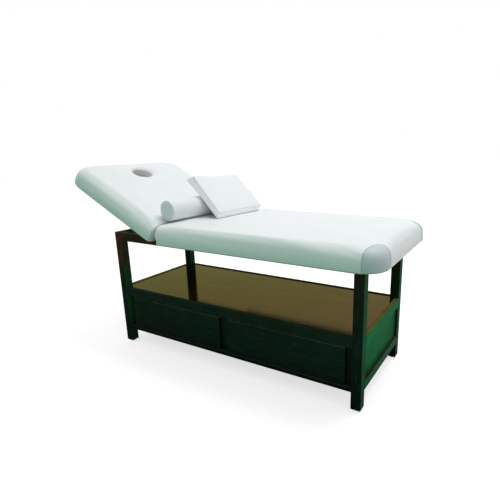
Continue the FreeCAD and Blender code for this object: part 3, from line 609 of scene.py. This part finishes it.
def gusset(side):
    """The arched seam of a foot corner: up the long side, over the edge and down the foot end."""
    # x from the foot end, y from the middle and z from the floor, in millimetres
    route = ((-82, 396.5, 668), (-82, 396, 723), (-82, 378, 758), (-77, 345, 771.5), (-67, 305, 776),
             (-50, 272, 776), (-27, 262, 768), (-9, 268, 751), (-0.5, 276, 729), (0, 276, 668))
    return rounded_line([Vector((PAD_FOOT_END + x * MM, side * y * MM, z * MM)) for x, y, z in route])


def gusset_outline():
    """The corner side of the arched seam seen from above, as x and y, with room to spare outside the pad."""
    seam = [(point.x, point.y) for point in gusset(1)]
    past_end, past_side = PAD_FOOT_END + 50 * MM, HALF_PAD_WIDTH + 50 * MM
    return seam + [(past_end, seam[-1][1]), (past_end, past_side), (seam[0][0], past_side)]


GUSSET_OUTLINE = gusset_outline()


def in_gusset(point):
    """Whether the point is on the corner side of an arched seam, seen from above."""
    x, y = point.x, abs(point.y)
    crossed = False
    for (ax, ay), (bx, by) in zip(GUSSET_OUTLINE, GUSSET_OUTLINE[1:] + GUSSET_OUTLINE[:1]):
        if (ay > y) != (by > y) and x < ax + (bx - ax) * (y - ay) / (by - ay):
            crossed = not crossed
    return crossed


# The main pad's end and edges above the hinge line, in millimetres
ABOVE_HINGE = 30.0
END_START = 3
END_ROUND = 30
TIGHT_ROUND = 10
ROOM_FOR_BACKREST = 5.5
HALF_FOLD_GAP = 1.5
FADE = 90
EDGE_ROUND = 40
EDGE_POWER = 5


def square_up(shape):
    """Fills out the main pad's end above the hinge line, as far as the raised backrest leaves room."""
    for vert in shape.verts:
        rise = (vert.co.z - HINGE.z) / MM
        inset = (vert.co.x - HINGE.x) / MM - HALF_FOLD_GAP
        if rise <= 0 or inset > FADE:
            continue
        rise = min(rise, ABOVE_HINGE)
        round_end = END_START + END_ROUND - math.sqrt(END_ROUND ** 2 - rise ** 2)
        square_end = END_START + ROOM_FOR_BACKREST * smooth(rise, 0, 12)
        corner_rise = rise - END_ROUND + TIGHT_ROUND
        if corner_rise > 0:
            square_end += TIGHT_ROUND - math.sqrt(TIGHT_ROUND ** 2 - corner_rise ** 2)
        gain = max(0.0, round_end - square_end)
        vert.co.x -= gain * MM * (1 - smooth(inset, round_end + 2, FADE))
    for vert in shape.verts:
        # the long edge is tighter beside the fold
        across = (abs(vert.co.y) - HALF_PAD_WIDTH) / MM + EDGE_ROUND
        up = (vert.co.z - HINGE.z) / MM - ABOVE_HINGE + EDGE_ROUND
        if across > 0 and up > 0:
            reach = math.hypot(across, up)
            corner = (across ** EDGE_POWER + up ** EDGE_POWER) ** (1 / EDGE_POWER)
            swell = (reach / corner - 1) * (1 - smooth(vert.co.x, HINGE.x + 30 * MM, HINGE.x + 140 * MM))
            vert.co.y += math.copysign(across * swell * MM, vert.co.y)
            vert.co.z += up * swell * MM


def main_held(point, normal):
    """The end against the backrest and the board's recess are held; the rest of the cover is free."""
    if point.x < HINGE.x + 24 * MM and point.z > BOARD_TOP:
        return 1.0
    return board_side(point, normal, (HINGE.x + PAD_FOOT_END) / 2)


# The pads carry on the same solids as their cushions, and the corner panels have an arched seam each
main_shape = solid_copy("main_cushion", Matrix())
square_up(main_shape)
corner_seams = [gusset(-1), gusset(1)]
# the corner panels inside the arched seams are marked for painted shade
main_pad = upholster("main_pad_cover", main_shape, Matrix(), 12 * MM, 3.5 * MM,
                     main_held, corner_seams, hem=True, panel=in_gusset)
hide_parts("main_cushion")
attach(main_pad, "base")
for place, line in zip(("front", "back"), corner_seams):
    sewn_line("corner_seam_" + place, main_pad, line, 2.2 * MM, "base", SEAM)

# The backrest's pad is blown up lying flat, and then raised again
flat = Matrix.Translation(HINGE) @ Matrix.Rotation(-BACKREST_TILT, 4, "Y") @ Matrix.Translation(-HINGE)


def backrest_held(point, normal):
    """The hole's wall and the board's recess are held; the rest of the cover is free."""
    if math.hypot(point.x - FACE_HOLE_MIDDLE, point.y) < FACE_HOLE_REACH and abs(normal.z) < 0.5:
        return 1.0
    if normal.x > 0.7 and point.x > HINGE.x - 25 * MM:
        return 1.0
    return board_side(point, normal, BACKREST_MIDDLE)


# the backrest's end in the fold is marked as a panel, for painted shade there
backrest_pad = upholster("backrest_pad_cover", solid_copy("backrest_cushion", flat), flat, 12 * MM, 3.5 * MM,
                         backrest_held, hem=True, panel=lambda point: point.x > HINGE.x - 14 * MM)
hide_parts("backrest_cushion")
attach(backrest_pad, "backrest")

# The bolster is blown up lying along Y, with a seam round each end
roll = Matrix.Rotation(LOOSE_TURN, 4, "Z") @ Matrix.Translation(-BOLSTER_CENTRE)
end_seams = []
radius = BOLSTER_RADIUS - 1.5 * MM
for end in (-1, 1):
    turns = [step * math.pi / 24 for step in range(49)]
    end_seams.append([Vector((radius * math.cos(t), end * (BOLSTER_HALF - 2.5 * MM), radius * math.sin(t)))
                      for t in turns])
bolster = upholster("bolster_cover", solid_copy("bolster", roll), roll, 6.5 * MM, 2.5 * MM,
                    lambda point, normal: 0.0, end_seams, skin=BOLSTER_LEATHERETTE)
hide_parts("bolster")
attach(bolster, "rest_cushions")
for place, line in zip(("front", "back"), end_seams):
    laid = [roll.inverted() @ point for point in line]
    sewn_line("bolster_seam_" + place, bolster, laid, 2.4 * MM, "rest_cushions", PIPING)


# The pillow is blown up lying flat about its own middle, and then leaned on the bolster. Its panel is the
# side band between its two seams
PILLOW_HALF = Vector((140, 182.5, 24)) * MM
PILLOW_CORNER = 18 * MM
PILLOW_TILT = math.radians(43)
FROM_BOLSTER = Vector((0.07433, 0.063, 0.10122))
PILLOW_PLACE = (Matrix.Translation((BOLSTER_CENTRE.x, BOLSTER_CENTRE.y, PAD_TOP + SOFT_GAP))
                @ Matrix.Rotation(-LOOSE_TURN, 4, "Z") @ Matrix.Translation(FROM_BOLSTER)
                @ Matrix.Rotation(PILLOW_TILT, 4, "Y"))


def settled(point):
    """Where a point of the box-shaped pillow goes: sides drawn in between the corners, the band leaning
    outward at the raised end and most of all at its near corner, and the low end's upper edge rolled back."""
    drawn_in, leaning, rolled_back, near_bulge = 5 * MM, 24 * MM, 12 * MM, 9 * MM
    plump, crown = 3 * MM, 4 * MM
    flare, flare_below, flare_up = 9 * MM, 13 * MM, 8 * MM
    u, v = point.x / PILLOW_HALF.x, point.y / PILLOW_HALF.y
    below = min(1.0, max(0.0, 0.5 - point.z / (2 * PILLOW_HALF.z)))
    raised = (1 - min(1.0, max(-1.0, u))) / 2
    near_corner = smooth(-v, -0.2, 1.0) * raised ** 3
    x = point.x - drawn_in * u * (1 - v * v)
    y = point.y - drawn_in * v * (1 - u * u)
    z = point.z
    x -= leaning * below * raised ** 3 + rolled_back * (1 - below) * smooth(u, 0.5, 1.0)
    x -= (flare + flare_below * below) * near_corner
    bulge = below * (0.4 + 0.6 * raised) + (1 - below) * 0.6 * (1 - raised)
    y -= near_bulge * smooth(-v, 0.2, 1.0) * bulge
    if z > 0:
        z += plump + crown * (1 - min(1.0, u ** 4)) * (1 - min(1.0, v ** 4)) + flare_up * near_corner
    return Vector((x, y, z))


def pillow_shape():
    """A flat box with rounded edges, settled as a soft pillow."""
    shape = bmesh.new()
    bmesh.ops.create_cube(shape, size=1.0)
    bmesh.ops.scale(shape, vec=2 * PILLOW_HALF, verts=shape.verts)
    upright = [edge for edge in shape.edges if abs(edge.verts[0].co.z - edge.verts[1].co.z) > PILLOW_HALF.z]
    bmesh.ops.bevel(shape, geom=upright, offset=PILLOW_CORNER, segments=5, affect="EDGES", profile=0.5,
                    material=-1)
    for side, radius in ((1, 4 * MM), (-1, 8 * MM)):
        rim = [edge for edge in shape.edges
               if all(side * vert.co.z > 0.98 * PILLOW_HALF.z for vert in edge.verts)]
        bmesh.ops.bevel(shape, geom=rim, offset=radius, segments=4, affect="EDGES", profile=0.5, material=-1)
    for axis, count in ((0, 7), (1, 9)):
        for step in range(1, count):
            at = Vector((0, 0, 0))
            at[axis] = PILLOW_HALF[axis] * (2 * step / count - 1)
            normal = Vector((0, 0, 0))
            normal[axis] = 1
            everything = shape.verts[:] + shape.edges[:] + shape.faces[:]
            bmesh.ops.bisect_plane(shape, geom=everything, dist=0.001 * MM, plane_co=at, plane_no=normal)
    for vert in shape.verts:
        vert.co = settled(vert.co)
    return shape


def pillow_rim(side):
    """The seam between a face of the pillow and its side band, 1 above and -1 below."""
    seam_round = PILLOW_CORNER - 1.5 * MM
    corners = []
    for quarter, (sx, sy) in enumerate(((1, 1), (-1, 1), (-1, -1), (1, -1))):
        for step in range(5):
            turn = math.radians(90 * quarter + 22.5 * step)
            corners.append(((PILLOW_HALF.x - PILLOW_CORNER) * sx + seam_round * math.cos(turn),
                            (PILLOW_HALF.y - PILLOW_CORNER) * sy + seam_round * math.sin(turn)))
    corners.append(corners[0])
    height = 20 * MM if side > 0 else -17 * MM
    line = []
    for (ax, ay), (bx, by) in zip(corners, corners[1:]):
        for step in range(6):
            line.append(settled(Vector((ax + (bx - ax) * step / 6, ay + (by - ay) * step / 6, height))))
    return line + line[:1]


pillow_lines = [pillow_rim(1), pillow_rim(-1)]
# the side band is marked as a panel, which is painted lighter as painted light
pillow_cover = upholster("pillow_cover", pillow_shape(), Matrix(), 6 * MM, 1.5 * MM,
                         lambda point, normal: 0.0, pillow_lines, skin=PILLOW_LEATHERETTE,
                         panel=lambda point: -15 * MM < point.z < 22 * MM)
pillow_cover.data.transform(PILLOW_PLACE)
for vert in pillow_cover.data.vertices:
    # flat where it rests on the main pad
    vert.co.z = max(vert.co.z, PAD_TOP + 2 * SOFT_GAP)
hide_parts("pillow")
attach(pillow_cover, "rest_cushions")
for place, line in zip(("top", "under"), pillow_lines):
    laid = [PILLOW_PLACE @ point for point in line]
    sewn_line("pillow_seam_" + place, pillow_cover, laid, 2.2 * MM, "rest_cushions", PIPING)


# Small hardware

def hardware(name, shape, body, finish):
    """Turns the bmesh into an object that rides on the body."""
    mesh = bpy.data.meshes.new(name)
    shape.to_mesh(mesh)
    shape.free()
    mesh.materials.append(finish)
    piece = new_object(name, mesh)
    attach(piece, body)
    return piece


def softened_knob(place):
    """The clamp knob's lobed body with its moulded edges rounded."""
    node = "clamp_knob_" + place
    shape = solid_copy(node, Matrix())
    bmesh.ops.dissolve_limit(shape, angle_limit=math.radians(2), verts=shape.verts, edges=shape.edges)
    sharp = [edge for edge in shape.edges
             if len(edge.link_faces) == 2 and edge.calc_face_angle() > math.radians(60)]
    bmesh.ops.bevel(shape, geom=sharp, offset=1.2 * MM, segments=3, affect="EDGES", profile=0.5, material=-1)
    for face in shape.faces:
        face.smooth = True
    piece = hardware("rounded_knob_" + place, shape, "knob_" + place, KNOB)
    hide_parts(node)


def pan_head(shape, at, turn):
    """Adds a pan-head screw with a round recess to the bmesh, its head towards minus Z before the turn."""
    recess, lift = 1.3 * MM, 1.2 * MM
    head = bmesh.ops.create_cone(shape, cap_ends=True, segments=18, radius1=3.4 * MM, radius2=4.5 * MM,
                                 depth=2.6 * MM)["verts"]
    low = min(vert.co.z for vert in head)
    cap = next(face for vert in head for face in vert.link_faces
               if all(corner.co.z < low + 0.01 * MM for corner in face.verts))
    bmesh.ops.inset_individual(shape, faces=[cap], thickness=1.6 * MM)
    bmesh.ops.translate(shape, vec=(0, 0, recess), verts=cap.verts)
    placed = Matrix.Translation(at) @ turn @ Matrix.Translation((0, 0, -lift))
    bmesh.ops.transform(shape, matrix=placed, verts=list(set(head) | set(cap.verts)))


def bearer_screws():
    """Screws that hold the cross bearers to the board of the main pad, seen from below."""
    shape = bmesh.new()
    # the bearers' middles along the bed, the screws' distance from the middle, and the bearers' underside, in
    # millimetres
    bearers, spread, under = (-174.8, 188.0, 596.3), 210, 650
    for along in bearers:
        for side in (-1, 0, 1):
            pan_head(shape, Vector((along, side * spread, under)) * MM, Matrix())
    hardware("bearer_screws", shape, "base", ZINC)


def board_screws():
    """Screws that hold the backrest's board on its two steel angles, seen from below."""
    shape = bmesh.new()
    back = flat.inverted()
    turn = back.to_3x3().to_4x4()
    angle = solid_copy("board_angle_front", flat)
    under = max(vert.co.z for vert in angle.verts) - 5 * MM
    start, end = min(vert.co.x for vert in angle.verts), max(vert.co.x for vert in angle.verts)
    angle.free()
    from_middle = 255 * MM
    for side in (-1, 1):
        for share in (0.2, 0.5, 0.8):
            at = Vector((start + (end - start) * share, side * from_middle, under))
            pan_head(shape, back @ at, turn)
    hardware("board_screws", shape, "backrest", ZINC)


softened_knob("front")
softened_knob("back")
bearer_screws()
board_screws()


# Floor, light and camera

def seen_directly(tree):
    """1 for what is seen straight, in a gloss or through a clear thing, 0 for light that falls on the bed."""
    path = add(tree, "LightPath")
    seen = add(tree, "Math", operation="MAXIMUM", in_0=path.outputs["Is Camera Ray"],
               in_1=path.outputs["Is Glossy Ray"]).outputs[0]
    return add(tree, "Math", operation="MAXIMUM", in_0=seen,
               in_1=path.outputs["Is Transmission Ray"]).outputs[0]


def white_floor():
    """A pale studio floor that goes over into the white background and keeps a soft shadow."""
    made = bpy.data.materials.new("pale_studio_floor")
    made.use_nodes = True
    tree = made.node_tree
    tree.nodes.clear()
    paint = add(tree, "BsdfDiffuse", Color=(0.7, 0.7, 0.7, 1))
    share = add(tree, "Math", operation="MULTIPLY", in_0=seen_directly(tree), in_1=0.66).outputs[0]
    glow = add(tree, "Emission", Strength=share, Color=(1, 1, 1, 1))
    both = add(tree, "AddShader", in_0=paint.outputs[0], in_1=glow.outputs[0])
    add(tree, "OutputMaterial", Surface=both.outputs[0])
    return made


def studio_floor():
    """A floor that reaches 15 m each way."""
    shape = bmesh.new()
    bmesh.ops.create_grid(shape, x_segments=1, y_segments=1, size=15)
    mesh = bpy.data.meshes.new("floor")
    shape.to_mesh(mesh)
    shape.free()
    mesh.materials.append(white_floor())
    floor = new_object("floor", mesh)


def white_sky():
    """A white sky that is dimmer as a light than it looks."""
    world = bpy.data.worlds.new("studio")
    scene.world = world
    world.use_nodes = True
    tree = world.node_tree
    tree.nodes.clear()
    level = add(tree, "MapRange", Value=seen_directly(tree), in_3=0.56).outputs[0]
    sky = add(tree, "Background", Strength=level, Color=(1, 1, 1, 1))
    add(tree, "OutputWorld", Surface=sky.outputs[0])


def key_softbox():
    """One large soft lamp high above the bed, turned to its middle."""
    lamp = bpy.data.lights.new("key_softbox", "AREA")
    lamp.shape = "DISK"
    lamp.size = 2.4
    lamp.energy = 98
    lamp.color = (1.0, 0.985, 0.96)
    key = new_object("key_softbox", lamp)
    key.location = (1.3, 1.0, 5.0)
    lit = Vector((0.1, 0, 0.6))
    key.rotation_mode = "QUATERNION"
    key.rotation_quaternion = (lit - key.location).to_track_quat("-Z", "Y")


def photo_camera():
    """The camera at the photograph's place, solved from the bed's straight edges."""
    place = Vector((1.35039, -1.84055, 1.14777))
    yaw, pitch, tip = math.radians(31.0536), math.radians(-14.8877), math.radians(-1.1791)
    ahead = Vector((-math.sin(yaw) * math.cos(pitch), math.cos(yaw) * math.cos(pitch), math.sin(pitch)))
    level = Vector((math.cos(yaw), math.sin(yaw), 0))
    upward = level.cross(ahead)
    across = level * math.cos(tip) + upward * math.sin(tip)
    upward = upward * math.cos(tip) - level * math.sin(tip)
    data = bpy.data.cameras.new("photo_camera")
    data.lens = 29.6469
    data.sensor_width = 36
    data.shift_x = -0.05615
    data.shift_y = 0.01381
    camera = new_object("photo_camera", data)
    turn = Matrix((across, upward, -ahead)).transposed().to_4x4()
    camera.matrix_world = Matrix.Translation(place) @ turn
    scene.camera = camera


studio_floor()
white_sky()
key_softbox()
photo_camera()
scene.view_settings.view_transform = "Standard"
